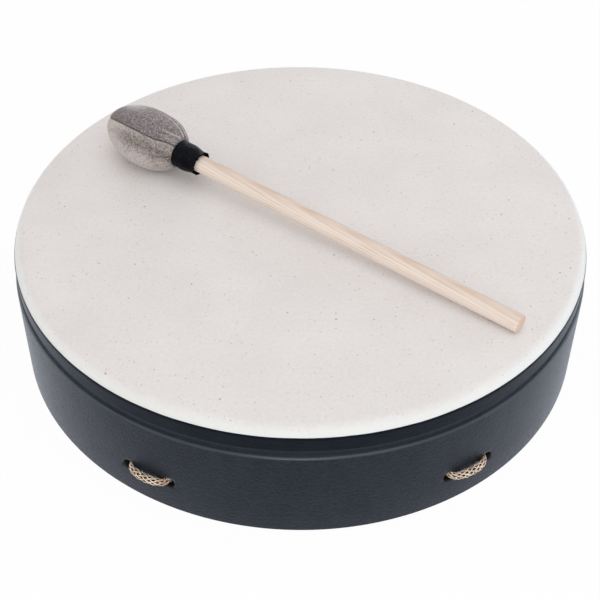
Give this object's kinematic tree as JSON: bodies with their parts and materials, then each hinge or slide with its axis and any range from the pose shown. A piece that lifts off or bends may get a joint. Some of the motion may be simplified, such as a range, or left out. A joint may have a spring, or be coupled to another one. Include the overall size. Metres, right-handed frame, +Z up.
{
  "type": "buffalo drum",
  "caption": "Wide shallow frame drum with a white film head, a charcoal fibreboard shell, a crossed rope hand grip underneath and a padded mallet lying on the head.",
  "frame": {"origin": "on the drum's axis, on the floor under the bottom rim", "axes": "+Z up along the drum's axis, -Y towards the side with the two rope stitches that face the viewer"},
  "size_m": [0.4068, 0.4068, 0.1384],
  "materials": {
    "charcoal_fibreboard": "textured matte coating",
    "white_film": "fine fibrous satin",
    "hoop_fibreboard": "raw",
    "black_tape": "satin",
    "braided_rope": "braided",
    "pale_hardwood": "sanded",
    "felt": "pressed",
    "grey_suede": "napped",
    "gloss_black_tape": "gloss, wrinkled"
  },
  "bodies": {
    "drum": {"shell": "charcoal_fibreboard", "head_hoop": "hoop_fibreboard", "drumhead": "white_film", "trim_tape": "black_tape", "grip_cord_a": "braided_rope", "grip_cord_b": "braided_rope", "grip_lashing": "braided_rope"},
    "mallet": {"mallet_stick": "pale_hardwood", "mallet_core": "felt", "mallet_cover": "grey_suede", "mallet_tape": "gloss_black_tape"}
  },
  "joints": [
    {"name": "mallet_lift", "type": "slide", "parent": "drum", "child": "mallet", "axis": [0, 0, 1], "range_m": [0, 0.15]}
  ]
}
